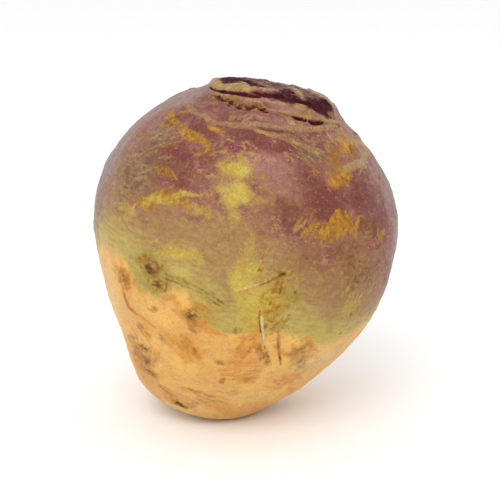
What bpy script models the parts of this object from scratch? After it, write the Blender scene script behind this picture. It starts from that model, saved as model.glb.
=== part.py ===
"""A rutabaga, grown as one piece: a round swollen root with a short leaf-scarred neck and a blunt root end.

Metres, +Z up. The root's own axis leans towards +X. The origin is the middle of the small flat spot
on the underside, on which the root stands.

A place on the root is given by its azimuth around the axis and its height along the axis above the
root end. Azimuth 0 is the low side of the lean (+X) and azimuth 90 is the +Y side, in degrees.
"""

from math import pi, radians, tan

import bmesh
import bpy
import numpy as np
from mathutils import Matrix, Vector

# Stance
LEAN = radians(15.0)        # angle between the root's axis and the vertical
REST_CUT = 0.0018           # how deep the flat spot cuts into the round underside
CROWN_TILT = radians(3.0)   # how far the cut crown tips back up against the lean

# Outline that is turned about the axis: height along the axis, and radius
OUTLINE = (
    (0.0000, 0.0000),       # middle of the root end
    (0.0004, 0.0100),
    (0.0018, 0.0195),
    (0.0055, 0.0260),       # rim of the root end
    (0.0105, 0.0300),
    (0.0180, 0.0360),
    (0.0285, 0.0430),
    (0.0405, 0.0505),
    (0.0545, 0.0572),
    (0.0665, 0.0610),
    (0.0785, 0.0620),       # girth
    (0.0905, 0.0605),
    (0.1025, 0.0565),
    (0.1125, 0.0505),
    (0.1205, 0.0430),       # shoulder
    (0.1255, 0.0365),       # foot of the neck
    (0.1285, 0.0315),
    (0.1315, 0.0275),
    (0.1345, 0.0242),
    (0.1368, 0.0210),       # rim of the cut crown
    (0.1376, 0.0120),
    (0.1377, 0.0000),       # middle of the crown
)

NECK_FOOT = 0.1255          # height where the neck, and the tilt of its crown, begins

# Swellings, and hollows with a negative rise: azimuth, height, spread and rise
LOBES = (
    (0.0, 0.027, 0.020, 0.0034),        # the root end swings towards the low side
    (180.0, 0.025, 0.018, -0.0032),
    (0.0, 0.048, 0.024, 0.0025),
    (180.0, 0.048, 0.022, -0.0022),
    (0.0, 0.019, 0.010, 0.0010),
    (180.0, 0.009, 0.012, 0.0014),      # knuckle on the rim of the root end
    (0.0, 0.108, 0.022, 0.0011),        # shoulder
    (0.0, 0.130, 0.008, -0.0014),       # hollow under the crown's rim
    (180.0, 0.134, 0.009, 0.0024),      # high corner of the neck
    (60.0, 0.070, 0.035, -0.0012),      # far side
    (110.0, 0.095, 0.030, 0.0012),
    (95.0, 0.035, 0.022, 0.0015),
    (145.0, 0.062, 0.026, -0.0010),
    (235.0, 0.085, 0.030, 0.0006),      # near side
    (300.0, 0.060, 0.030, -0.0006),
    (275.0, 0.030, 0.018, 0.0008),
)

# Fineness of the mesh
COLUMNS = 64
RINGS = 49

SKIN_COLOUR = (0.27, 0.09, 0.10, 1.0)
SKIN_ROUGHNESS = 0.55


def clear_scene():
    for found in list(bpy.data.objects):
        bpy.data.objects.remove(found)


def smooth_outline(points, count):
    """Points along a smooth curve through the outline, crowded where the outline's own points are."""
    points = np.array(points)
    gaps = np.sqrt(np.linalg.norm(np.diff(points, axis=0), axis=1))
    knots = np.concatenate([[0.0], np.cumsum(gaps)])
    slopes = np.gradient(points, knots, axis=0)
    slopes[[0, -1], 0] = 0.0
    along = np.linspace(0.0, knots[-1], count)
    span = np.clip(np.searchsorted(knots, along, side="right") - 1, 0, len(gaps) - 1)
    t = ((along - knots[span]) / gaps[span])[:, None]
    gap = gaps[span][:, None]
    curve = (2 * t**3 - 3 * t**2 + 1) * points[span]
    curve += (t**3 - 2 * t**2 + t) * gap * slopes[span]
    curve += (3 * t**2 - 2 * t**3) * points[span + 1]
    curve += (t**3 - t**2) * gap * slopes[span + 1]
    return curve


def place(azimuth, height, radius):
    """Points at these azimuths in radians, heights and radii about an upright axis."""
    azimuth, height, radius = np.broadcast_arrays(azimuth, height, radius)
    return np.stack([radius * np.cos(azimuth), radius * np.sin(azimuth), height], axis=-1)


def tip_crown(points):
    """Tips the crown back up, gradually above the foot of the neck."""
    share = np.clip((points[..., 2] - NECK_FOOT) / (OUTLINE[-1][0] - NECK_FOOT), 0.0, 1.0)
    tipped = points.copy()
    tipped[..., 2] += share * points[..., 0] * tan(CROWN_TILT)
    return tipped


def swollen_rings(outline):
    """The turned outline with its lobes, one ring of points for each height between the two poles."""
    azimuths = np.arange(COLUMNS) * 2 * pi / COLUMNS
    heights, radii = outline[1:-1, 0], outline[1:-1, 1]
    turned = place(azimuths[None, :], heights[:, None], radii[:, None])
    radius = np.repeat(radii[:, None], COLUMNS, axis=1)
    for azimuth, height, spread, rise in LOBES:
        middle = place(radians(azimuth), height, radii[np.abs(heights - height).argmin()])
        distance = np.linalg.norm(turned - middle, axis=-1)
        radius += rise * np.exp(-((distance / spread) ** 2))
    return tip_crown(place(azimuths[None, :], heights[:, None], radius))


def lathe(mesh, rings, foot, crown):
    """Joins the rings to each other and to the two poles, with faces that point outwards."""
    levels = [[mesh.verts.new(point) for point in ring] for ring in rings]
    foot = mesh.verts.new(foot)
    crown = mesh.verts.new(crown)
    for this in range(COLUMNS):
        after = (this + 1) % COLUMNS
        mesh.faces.new((levels[0][after], levels[0][this], foot))
        mesh.faces.new((levels[-1][this], levels[-1][after], crown))
        for low, high in zip(levels, levels[1:]):
            mesh.faces.new((low[this], low[after], high[after], high[this]))


def stand(mesh):
    """Leans the root over, cuts its flat spot and sets that spot's middle on the origin."""
    bmesh.ops.rotate(mesh, verts=mesh.verts, cent=(0, 0, 0), matrix=Matrix.Rotation(LEAN, 3, "Y"))
    floor = min(vertex.co.z for vertex in mesh.verts) + REST_CUT
    everything = mesh.verts[:] + mesh.edges[:] + mesh.faces[:]
    cut = bmesh.ops.bisect_plane(
        mesh, geom=everything, plane_co=(0, 0, floor), plane_no=(0, 0, 1), clear_inner=True
    )
    rim = [element for element in cut["geom_cut"] if isinstance(element, bmesh.types.BMEdge)]
    flat = bmesh.ops.contextual_create(mesh, geom=rim)["faces"][0]
    middle = flat.calc_center_median_weighted()
    bmesh.ops.translate(mesh, verts=mesh.verts, vec=-Vector(middle))
    bmesh.ops.recalc_face_normals(mesh, faces=mesh.faces)


def skin_material():
    material = bpy.data.materials.new("rutabaga_skin")
    material.use_nodes = True
    surface = material.node_tree.nodes["Principled BSDF"]
    surface.inputs["Base Color"].default_value = SKIN_COLOUR
    surface.inputs["Roughness"].default_value = SKIN_ROUGHNESS
    surface.inputs["Metallic"].default_value = 0.0
    return material


def make_rutabaga():
    outline = smooth_outline(OUTLINE, RINGS)
    shape = bmesh.new()
    lathe(shape, swollen_rings(outline), (0, 0, outline[0, 0]), (0, 0, outline[-1, 0]))
    stand(shape)
    mesh = bpy.data.meshes.new("rutabaga")
    shape.to_mesh(mesh)
    shape.free()
    mesh.shade_smooth()
    mesh.materials.append(skin_material())
    rutabaga = bpy.data.objects.new("rutabaga", mesh)
    bpy.context.scene.collection.objects.link(rutabaga)


clear_scene()
make_rutabaga()
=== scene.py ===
"""The looks of the rutabaga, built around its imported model.

One closed mesh stands for the root. A place on its skin is given by its azimuth, in degrees around the
root's own axis, and by its distance down the skin from the middle of the cut crown, in millimetres.
Azimuth 0 is the low side of the lean (+X) and azimuth 270 faces the camera. The root's own frame has its
origin at the middle of the root end and its Z along the axis, in millimetres too.
"""

from math import cos, pi, radians, sin

import bpy
import numpy as np
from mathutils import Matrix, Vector, noise
from mathutils.bvhtree import BVHTree


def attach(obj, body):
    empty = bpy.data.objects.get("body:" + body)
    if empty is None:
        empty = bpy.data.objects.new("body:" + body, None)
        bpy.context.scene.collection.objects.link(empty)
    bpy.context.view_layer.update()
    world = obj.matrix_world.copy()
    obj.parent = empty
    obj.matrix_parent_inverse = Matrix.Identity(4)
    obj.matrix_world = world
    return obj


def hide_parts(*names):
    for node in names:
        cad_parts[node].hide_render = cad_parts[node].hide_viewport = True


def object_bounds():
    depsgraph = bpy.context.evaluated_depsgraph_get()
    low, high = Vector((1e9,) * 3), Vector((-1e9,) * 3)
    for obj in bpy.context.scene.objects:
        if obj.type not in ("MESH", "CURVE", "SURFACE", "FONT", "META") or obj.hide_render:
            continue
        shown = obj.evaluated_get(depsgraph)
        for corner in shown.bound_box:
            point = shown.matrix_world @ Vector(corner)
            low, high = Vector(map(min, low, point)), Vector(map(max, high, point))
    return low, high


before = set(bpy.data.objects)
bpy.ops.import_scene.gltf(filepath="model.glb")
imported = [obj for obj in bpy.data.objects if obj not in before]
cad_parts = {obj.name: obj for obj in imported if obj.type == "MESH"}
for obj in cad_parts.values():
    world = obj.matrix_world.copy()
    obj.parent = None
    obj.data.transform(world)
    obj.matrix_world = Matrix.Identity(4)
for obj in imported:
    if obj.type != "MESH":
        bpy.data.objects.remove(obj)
cad_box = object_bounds()

MM = 0.001                          # metres in a millimetre

# The root's own frame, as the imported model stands
LEAN = radians(15.0)                # angle between the root's axis and the vertical
ROOT_END = (-16.07, 0.0, 1.52)      # where the axis leaves the skin at the root end
AXES = np.array([
    (cos(LEAN), 0.0, -sin(LEAN)),
    (0.0, 1.0, 0.0),
    (sin(LEAN), 0.0, cos(LEAN)),
])
CORE = 70.0                         # a height on the axis that sees the whole skin
PROBE = 20.0                        # how deep under the mean outline the skin is sounded from
MEAN_TURNS = 24                     # directions around the axis that the mean outline is taken from
MEAN_ANGLES = 480                   # directions from the crown's middle to the root end, in each of them
SOUNDED_RINGS = 280                 # rings that the skin is sounded on
SOUNDED_STEP = 2.0                  # degrees from one sounded place to the next on a ring

# Fineness of the mesh. A cell is cut in FINEST by FINEST where the near side has fine marks.
COLUMNS = 240
FINEST = 4
NECK_STEP = 1.0                     # height of a cell on the crown and neck
BODY_STEP = 1.65                    # height of a cell below them
NECK_REACH = 54.0                   # how far down the neck's cells go
BUSY = 0.25                         # a change of paint or relief between neighbours that halves their cells
NEAR_MIDDLE, NEAR_HALF = 268.0, 84.0    # the near side's middle azimuth and half its width
FINE_TOP, FINE_END = 16.0, 172.0    # where the finest cells start and end, down the skin
COARSE_TOP, COARSE_END = 6.0, 198.0     # cells stay whole above the first and below the second
FINE_STROKE = 0.85                  # strokes narrower than this have fine cells
FINE_PATCH = 1.3                    # and so have patches narrower than this
FINE_DEPTH = 0.15                   # that are also deeper or higher than this

BEND = 1.1                          # how far noise shifts the outlines of wide marks
BENT_STROKE = 1.3                   # how wide a stroke has to be for that
BENT_PATCH = 1.5                    # and how wide a patch
DEEPEST, HIGHEST = -2.5, 2.0        # limits of the relief that marks add up to
FIBRE_RING = 30.0                   # radius of the cylinder that noise drawn out down the skin is read on


# ---------------------------------------------------------------- small helpers

def smooth(value, low, high):
    """0 below low, 1 above high and a smooth slope between them."""
    share = np.clip((value - low) / (high - low), 0.0, 1.0)
    return share * share * (3.0 - 2.0 * share)


def angle_from(azimuth, middle):
    """Degrees from middle to azimuth, the short way round."""
    return (azimuth - middle + 180.0) % 360.0 - 180.0


def curve_through(points, x):
    """A smooth curve through points (x, y), read at x and level beyond its ends."""
    points = np.array(points, float)
    known, values = points[:, 0], points[:, 1]
    slopes = np.gradient(values, known)
    x = np.clip(x, known[0], known[-1])
    span = np.clip(np.searchsorted(known, x, side="right") - 1, 0, len(known) - 2)
    gap = known[span + 1] - known[span]
    t = (x - known[span]) / gap
    low = (2 * t**3 - 3 * t**2 + 1) * values[span] + (t**3 - 2 * t**2 + t) * gap * slopes[span]
    return low + (3 * t**2 - 2 * t**3) * values[span + 1] + (t**3 - t**2) * gap * slopes[span + 1]


def fall_off(distance):
    """How much a mark covers at a distance, which is 1 at its edge: all in its middle, nothing past 1.8."""
    return np.clip((1.8 - distance) / 1.4, 0.0, 1.0)


def ring_through(points, azimuth):
    """A smooth closed curve through points (azimuth, value), which start and end a full turn apart."""
    return curve_through(points, (azimuth - points[0][0]) % 360.0 + points[0][0])


def blur(values, spread):
    """Values smoothed along their first axis, with mirrored ends. Spread is in steps."""
    reach = int(3 * spread) + 1
    kernel = np.exp(-0.5 * (np.arange(-reach, reach + 1) / spread) ** 2)
    kernel /= kernel.sum()
    padded = np.pad(values, [(reach, reach)] + [(0, 0)] * (values.ndim - 1), mode="reflect")
    return sum(weight * padded[k:k + len(values)] for k, weight in enumerate(kernel))


def fractal(places, octaves):
    """Smooth noise around 0 with a spread of about 1."""
    return 3.0 * np.array([noise.fractal(place, 0.8, 2.0, octaves) for place in places.tolist()])


def to_world(points):
    """From the root's own frame, in millimetres, to the shared frame, in metres."""
    return (np.asarray(points) @ AXES + ROOT_END) * MM


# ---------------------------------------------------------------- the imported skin, sounded by rays

def ray_tree(node):
    """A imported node's faces, ready for rays."""
    mesh = node.data
    corners = [tuple(vertex.co) for vertex in mesh.vertices]
    return BVHTree.FromPolygons(corners, [tuple(face.vertices) for face in mesh.polygons])


def sound(tree, start, direction):
    """Millimetres from start to the skin, both in the root's own frame."""
    hit = tree.ray_cast(Vector(to_world(start)), Vector(direction @ AXES))
    return hit[3] / MM


def around(azimuth):
    """The direction straight out from the axis at these azimuths in degrees."""
    turn = np.radians(azimuth)
    return np.stack([np.cos(turn), np.sin(turn), np.zeros_like(turn)], axis=-1)


class Outline:
    """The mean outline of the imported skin, and how far the skin stands off it at each place."""

    def __init__(self, tree):
        polar = np.linspace(0.0, pi, MEAN_ANGLES)
        reach = np.zeros(len(polar))
        for turn in range(MEAN_TURNS):
            out = around(turn * 360.0 / MEAN_TURNS)
            for k, angle in enumerate(polar):
                direction = out * sin(angle) + np.array((0.0, 0.0, cos(angle)))
                reach[k] += sound(tree, (0.0, 0.0, CORE), direction) / MEAN_TURNS
        reach = blur(reach, 2.0)
        self.height = CORE + reach * np.cos(polar)
        self.radius = reach * np.sin(polar)
        steps = np.hypot(np.diff(self.height), np.diff(self.radius))
        self.down = np.concatenate([[0.0], np.cumsum(steps)])
        slope_height = blur(np.gradient(self.height, self.down), 2.0)
        slope_radius = blur(np.gradient(self.radius, self.down), 2.0)
        size = np.hypot(slope_height, slope_radius)
        self.lift = slope_radius / size             # the outward normal's part along the axis
        self.push = -slope_height / size            # and its part straight out from the axis
        self.length = self.down[-1]
        self.sound_all(tree)

    def sound_all(self, tree):
        """Sounds the skin all over, square to the mean outline, and smooths what the rays find."""
        self.rings = np.linspace(0.0, self.length, SOUNDED_RINGS)
        self.azimuths = np.arange(0.0, 360.0, SOUNDED_STEP)
        self.offset = np.zeros((len(self.rings), len(self.azimuths)))
        for column, azimuth in enumerate(self.azimuths):
            points = self.point(azimuth, self.rings)
            normals = self.normal(azimuth, self.rings)
            for row, (point, normal) in enumerate(zip(points, normals)):
                self.offset[row, column] = sound(tree, point - PROBE * normal, normal) - PROBE
        self.offset = blur(self.offset, 2.5)
        wrapped = np.concatenate([self.offset] * 3, axis=1)
        turned = blur(wrapped.T, 2.0).T
        self.offset = turned[:, len(self.azimuths):2 * len(self.azimuths)]

    def point(self, azimuth, down):
        """The mean outline's points, in the root's own frame."""
        azimuth, down = np.broadcast_arrays(np.asarray(azimuth, float), np.asarray(down, float))
        points = around(azimuth) * np.interp(down, self.down, self.radius)[..., None]
        points[..., 2] = np.interp(down, self.down, self.height)
        return points

    def normal(self, azimuth, down):
        """The mean outline's outward normals, in the root's own frame."""
        azimuth, down = np.broadcast_arrays(np.asarray(azimuth, float), np.asarray(down, float))
        normals = around(azimuth) * np.interp(down, self.down, self.push)[..., None]
        normals[..., 2] = np.interp(down, self.down, self.lift)
        return normals

    def stand_off(self, azimuth, down):
        """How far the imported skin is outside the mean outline, between the sounded places."""
        row = np.clip(down / self.length, 0.0, 1.0) * (len(self.rings) - 1)
        low = np.minimum(row.astype(int), len(self.rings) - 2)
        column = (azimuth % 360.0) / SOUNDED_STEP
        left = column.astype(int) % len(self.azimuths)
        right = (left + 1) % len(self.azimuths)
        across = column - np.floor(column)
        first = self.offset[low, left] * (1 - across) + self.offset[low, right] * across
        second = self.offset[low + 1, left] * (1 - across) + self.offset[low + 1, right] * across
        return first * (1 - (row - low)) + second * (row - low)

    def degree(self, down, least=4.0):
        """Millimetres in a degree around the skin, which counts as at least this far from the axis."""
        return radians(1.0) * max(least, float(np.interp(down, self.down, self.radius)))


# ---------------------------------------------------------------- marks on the skin

class Skin:
    """Paint and relief at a set of places on the skin. Relief is in millimetres, outwards."""

    def __init__(self, outline, azimuth, down):
        self.outline = outline
        self.azimuth = azimuth
        self.down = down
        self.points = outline.point(azimuth, down)
        self.radius = np.interp(down, outline.down, outline.radius)
        self.paint = {layer[0]: np.zeros(len(azimuth)) for layer in LAYERS}
        self.relief = np.zeros(len(azimuth))
        self.fine = np.zeros(len(azimuth), bool)
        self.wobble = self.noise(6.0, 2)
        bends = [self.noise(9.0, 4, shift=shift) for shift in (20.0, 40.0, 60.0)]
        self.bent = self.points + BEND * np.stack(bends, axis=1)

    def noise(self, size, octaves, stretch=(1.0, 1.0, 1.0), shift=0.0):
        """Smooth noise around 0 with a spread of about 1, and features of about size millimetres."""
        return fractal(self.points * np.array(stretch) / size + shift, octaves)

    def fibre_noise(self, across, along):
        """Noise drawn out down the skin: across is the size around the neck, and along down it."""
        turn = np.radians(self.azimuth)
        ring = FIBRE_RING / across
        return fractal(np.stack([ring * np.cos(turn), ring * np.sin(turn), self.down / along], axis=-1), 2)

    def add(self, pigment, strength, cover):
        """Paints a pigment, if there is one. Where marks overlap, the stronger one counts."""
        if pigment:
            self.paint[pigment] = np.maximum(self.paint[pigment], strength * cover)

    def near(self, points, reach):
        """Indices of the places within reach of the box around points."""
        low = points.min(axis=0) - reach
        high = points.max(axis=0) + reach
        return np.flatnonzero(np.all((self.points > low) & (self.points < high), axis=1))

    def stroke(self, pigment, strength, depth, width, *path, lips=0.0):
        """A line through path, (azimuth, down) pairs: thick in the middle, thin at its ends.
        Its relief is depth, and lips raise the skin beside it."""
        path = np.array(path, float)
        path[:, 0] = path[0, 0] + angle_from(path[:, 0], path[0, 0])
        knots = np.arange(len(path))
        fine = np.linspace(0, len(path) - 1, 6 * (len(path) - 1) + 1)
        line = self.outline.point(np.interp(fine, knots, path[:, 0]), np.interp(fine, knots, path[:, 1]))
        found = self.near(line, 3.0 * width + 1.5)
        places = (self.bent if width > BENT_STROKE else self.points)[found]
        closest = np.full(len(found), 1e9)
        for k, (start, end) in enumerate(zip(line, line[1:])):
            edge = end - start
            t = np.clip((places - start) @ edge / (edge @ edge), 0.0, 1.0)
            along = (k + t) / (len(line) - 1)
            thick = width * (0.35 + 0.65 * np.sqrt(np.clip(4 * along * (1 - along), 0.0, 1.0)))
            gap = np.linalg.norm(places - start - t[:, None] * edge, axis=1)
            closest = np.minimum(closest, gap / thick)
        closest = closest * (1.0 + 0.12 * self.wobble[found])
        cover = np.zeros(len(self.points))
        cover[found] = fall_off(closest)
        self.add(pigment, strength, cover)
        shape = np.exp(-1.2 * closest**2)
        rise = np.exp(-3.0 * (closest - 1.7) ** 2)
        self.relief[found] += depth * shape + lips * rise
        if width < FINE_STROKE:
            self.fine[found[closest < 1.3 + 0.6 / width]] = True

    def strokes(self, pigment, *rows):
        """Lines in one pigment, each given as in stroke: strength, depth, width and its path."""
        for row in rows:
            self.stroke(pigment, *row)

    def patch(self, pigment, strength, depth, azimuth, down, half_width, half_height, turn=0.0):
        """An uneven oval, turned by turn degrees: positive lifts its right end towards the crown."""
        middle = self.outline.point(azimuth, down)
        size = 2.2 * max(half_width, half_height)
        found = self.near(middle[None, :], size)
        across = np.array((-sin(radians(azimuth)), cos(radians(azimuth)), 0.0))
        up = np.cross(self.outline.normal(azimuth, down), across)
        least = min(half_width, half_height)
        offset = (self.bent if least > BENT_PATCH else self.points)[found] - middle
        x = offset @ across
        y = offset @ up
        c, s = cos(radians(turn)), sin(radians(turn))
        distance = np.hypot((c * x + s * y) / half_width, (c * y - s * x) / half_height)
        distance *= 1.0 + 0.15 * self.wobble[found]
        cover = np.zeros(len(self.points))
        cover[found] = fall_off(distance)
        self.add(pigment, strength, cover)
        self.relief[found] += depth * np.exp(-1.6 * distance**2)
        if abs(depth) > FINE_DEPTH and least < FINE_PATCH:
            self.fine[found[distance < 1.5]] = True

    def patches(self, pigment, *rows):
        """Flat patches of one pigment: strength, azimuth, down, half width, half height and any turn."""
        for strength, *oval in rows:
            self.patch(pigment, strength, 0.0, *oval)

    def streaks(self, pigment, strength, azimuth, down, half_width, half_height, lean, length, width, count,
                depth=0.0):
        """A cluster of short strokes. Lean is their angle, in degrees up from the ring's direction."""
        random = np.random.default_rng(int(abs(azimuth) * 101 + down * 7 + count))
        degree = self.outline.degree(down)
        for _ in range(count):
            turn = random.uniform(0.0, 2.0 * pi)
            out = random.uniform(0.0, 1.0) ** 0.6
            x = out * half_width * cos(turn)
            y = out * half_height * sin(turn)
            angle = radians(lean + random.uniform(-14.0, 14.0))
            half = 0.5 * length * random.uniform(0.5, 1.3)
            dx, dy = half * cos(angle), half * sin(angle)
            start = (azimuth + (x - dx) / degree, down - y + dy)
            end = (azimuth + (x + dx) / degree, down - y - dy)
            self.stroke(pigment, strength, depth, width * random.uniform(0.6, 1.3), start, end)

    def clusters(self, pigment, *rows):
        """Clusters of short strokes in one pigment, each given as in streaks."""
        for row in rows:
            self.streaks(pigment, *row)

    def ledge(self, pigment, strength, rise, half, *path):
        """A rim that runs around the neck through path. Its paint and its relief fade over half a width."""
        path = np.array(path, float)
        middle = 0.5 * (path[0, 0] + path[-1, 0])
        reach = 0.5 * (path[-1, 0] - path[0, 0])
        azimuth = angle_from(self.azimuth, middle) + middle
        gap = (self.down - curve_through(path, azimuth)) / half + 0.25 * self.wobble
        window = 1.0 - smooth(np.abs(azimuth - middle), 0.72 * reach, reach)
        shape = np.exp(-(gap**2)) * window
        self.relief += rise * shape
        self.add(pigment, strength, smooth(shape, 0.1, 0.9))


def root_scar(skin, azimuth, down, half_width, half_height, halo="smudge", dark=1.0):
    """The scar of a side root: a corky sunken oval with a broken brown rim, a dark core and pale crumbs."""
    random = np.random.default_rng(int(abs(azimuth) * 13 + down * 5))
    degree = skin.outline.degree(down, least=8.0)

    def blotch(pigment, strength, depth, turn, out, half_length, half, lean):
        x = out * half_width * cos(turn)
        y = out * half_height * sin(turn)
        skin.patch(pigment, strength, depth, azimuth + x / degree, down + y, half_length * half_width,
                   half * half_width, lean)

    skin.patch(halo, 0.85, 0.4, azimuth, down, 1.7 * half_width, 1.7 * half_height)
    skin.patch("smudge", 0.9, -0.3, azimuth, down, 1.05 * half_width, 1.05 * half_height)
    for step in range(8):
        turn = radians(45.0 * step + random.uniform(-16.0, 16.0))
        lean = np.degrees(np.arctan2(-half_height * cos(turn), -half_width * sin(turn)))
        blotch("bark", random.uniform(0.35, 0.95) * dark, -0.05, turn, 0.85, 0.38, 0.12, lean)
    for _ in range(6):
        turn = random.uniform(0.0, 2.0 * pi)
        blotch("bark", dark, -0.16, turn, random.uniform(0.1, 0.6), random.uniform(0.2, 0.4), 0.11,
               random.uniform(-40.0, 40.0))
    for _ in range(3):
        turn = random.uniform(0.2 * pi, 0.8 * pi)
        blotch("soil", 0.95 * dark, -0.16, turn, random.uniform(0.1, 0.5), 0.24, 0.09,
               random.uniform(-30.0, 30.0))
    for _ in range(6):
        turn = random.uniform(0.0, 2.0 * pi)
        blotch("straw", 0.8, 0.2, turn, random.uniform(0.3, 0.9), 0.22, 0.09, random.uniform(-50.0, 50.0))


# Where the green ends and the cream root begins, and where the purple ends above it: azimuth and down
CREAM_LINE = (
    (170, 117), (185, 117), (200, 116), (205, 111), (214, 109.5), (226, 110), (233, 116), (241, 118),
    (246, 112), (252, 110.5), (257, 118), (264, 123.5), (274, 124), (281, 121.5), (291, 120), (300, 121),
    (312, 124), (320, 124), (330, 119), (342, 114.5), (352, 112.5), (366, 116), (379, 121), (391, 117),
    (403, 111), (418, 113), (432, 121), (446, 124), (458, 117), (470, 110.5), (484, 113), (498, 121),
    (512, 119), (522, 114), (530, 117),
)
PURPLE_LINE = (
    (180, 100), (200, 96), (215, 92), (235, 88), (250, 84), (265, 83), (280, 85), (290, 91), (300, 98),
    (315, 104), (330, 108), (345, 109), (358, 105), (372, 96), (388, 104), (402, 88), (418, 97), (434, 104),
    (450, 92), (466, 86), (482, 98), (498, 106), (514, 95), (528, 97), (540, 100),
)
# How soft the cream line is: azimuth and half the width of its edge
CREAM_SOFTNESS = (
    (178, 2.4), (200, 2.4), (214, 2.0), (228, 1.4), (246, 1.6), (257, 1.0), (297, 1.0), (305, 1.8),
    (320, 2.4), (345, 2.4), (380, 1.4), (410, 2.6), (440, 1.2), (470, 2.4), (500, 1.4), (520, 2.4),
    (538, 2.4),
)


def mark_crown(skin):
    """The cut face: broken leaf bases, dark purple in their hollows and tan on their sides."""
    skin.add("raw", 1, 1.0 - smooth(skin.down, 19, 23))
    skin.strokes(
        "night",
        (1, -0.5, 4.8, (146, 20.5), (163, 20), (180, 19.6), (194, 18), (207, 15.2), (222, 11.5)),
        (0.8, -0.3, 0.5, (190, 30.4), (198, 30), (206, 29.2), (212, 28.4)),
        (1, -0.6, 1.1, (208, 28.8), (214, 28.2), (222, 26.9), (232, 25.5), (243, 24.2), (248, 23.6)),
        (1, -0.8, 3.4, (243, 22), (252, 20.8), (262, 19), (275, 18.6), (286, 19.4), (296, 21)),
        (1, -0.8, 4.6, (290, 20), (302, 20.2), (314, 20.6), (326, 21), (340, 22)),
        (0.9, -0.4, 2.2, (268, 18), (272, 12), (280, 8)),
        (0.9, -0.6, 2.2, (55, 12), (75, 14.5), (100, 15), (125, 14)),
        (0.9, -0.5, 1.4, (20, 8), (60, 6.5), (110, 7)),
    )
    skin.strokes(
        "straw",
        (1, 0.5, 2.6, (172, 27), (184, 27.2), (198, 25.9), (212, 23.2), (225, 20), (238, 16.8), (256, 13)),
        (0.8, 0.4, 1.6, (246, 15), (255, 11.5), (264, 9.4)),
        (0.7, 0.4, 1.4, (296, 6.4), (318, 5.2), (340, 6)),
        (0.9, 0.5, 2, (330, 4), (312, 7), (302, 11), (296, 14.5)),
        (0.9, 0.4, 1.1, (299, 15.5), (302, 18), (304, 21)),
        (1, 0.3, 3.4, (350, 18.5), (3, 17.5), (20, 17), (42, 16)),
        (0.8, 0.2, 1.4, (75, 20), (95, 19), (120, 20), (140, 21)),
        (0.75, 0.4, 1, (12, 11.5), (40, 9.8), (75, 9.6), (110, 9.4), (150, 8.6)),
        (0.6, 0.3, 0.8, (168, 9), (190, 9.4), (215, 8), (238, 6.4)),
        (0.6, 0.3, 0.8, (64, 17.6), (92, 17.6), (122, 17.2), (150, 15.8)),
    )
    skin.clusters(
        "straw",
        (0.6, 30, 14.5, 7, 2, 10, 4, 0.5, 10, 0.1), (0.55, 120, 12, 8, 3, 0, 4, 0.5, 14, 0.1),
    )
    skin.patch("khaki", 0.8, 0.6, 130, 3, 3, 2.4)
    skin.streaks("night", 0.8, 130, 3, 2.4, 2, 40, 2.6, 0.5, 6, depth=-0.3)


def mark_neck(skin):
    """The topmost rim around the neck and the lilac band over it, on the near side."""
    skin.patch("straw", 0.62, 0.2, 226, 28.3, 13, 1.5, 8)
    skin.patch("lilac_and_highlight", 0.95, -0.2, 262, 25.6, 9, 2, 2)
    skin.patch("straw", 0.6, 0.2, 274, 23.6, 9, 0.9)
    skin.patches("haze", (0.9, 286, 25.6, 5, 2), (0.9, 322, 26.5, 9, 2.4))
    skin.patch("bark", 0.6, 0, 266, 27, 2, 0.6)
    skin.stroke("moss", 0.9, 0.2, 0.8, (297, 24.8), (297.5, 28.2))
    skin.ledge("straw", 0.62, 0.5, 0.9, (210, 30.6), (221, 28.9), (231, 28), (240, 27.5), (250, 27.2),
               (258, 28.3), (268, 28.6), (280, 28.1), (292, 28), (310, 28.4), (330, 29), (352, 29.6))
    skin.patch("maroon", 0.6, -0.2, 228, 30.6, 8, 2.2, 6)
    skin.patch("maroon", 0.5, -0.2, 249, 30.2, 6, 1.6)


def mark_leaf_scars(skin):
    """The row of torn leaf scars under that rim, and the dark slits on their right."""
    for azimuth, down, half_width, half_height in (
        (213, 31.8, 2.4, 1), (221, 31.6, 2.8, 1.4), (230, 31.8, 3, 2.1), (237, 32, 3.2, 2.3),
        (243, 31, 2.8, 1.9), (249, 30.3, 2.8, 1.6), (256, 30.1, 2.4, 1),
    ):
        skin.patch("maroon", 0.9, -0.2, azimuth, down, half_width, half_height)
        skin.patch("bark", 0.6, -0.2, azimuth, down, half_width, half_height)
        skin.streaks("night", 0.62, azimuth, down, 0.9 * half_width, 0.9 * half_height, 12, 2, 0.5, 9,
                     depth=-0.15)
        skin.streaks("straw", 0.7, azimuth, down, half_width, half_height, 50, 1.5, 0.36, 6, depth=0.15)
    skin.stroke("bark", 0.6, -0.4, 0.4, (268, 29.2), (273, 29.2), (278, 29.4))
    skin.strokes(
        "night",
        (0.9, -0.8, 0.5, (279, 29.3), (285, 29.5), (289, 29.5), (292, 29.8)),
        (1, -1.2, 0.9, (295.5, 29.7), (299, 30.1), (304, 30), (310, 29.2)),
    )
    skin.streaks("night", 0.8, 286, 29.7, 3, 0.5, 15, 1.4, 0.45, 7, depth=-0.2)


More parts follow.
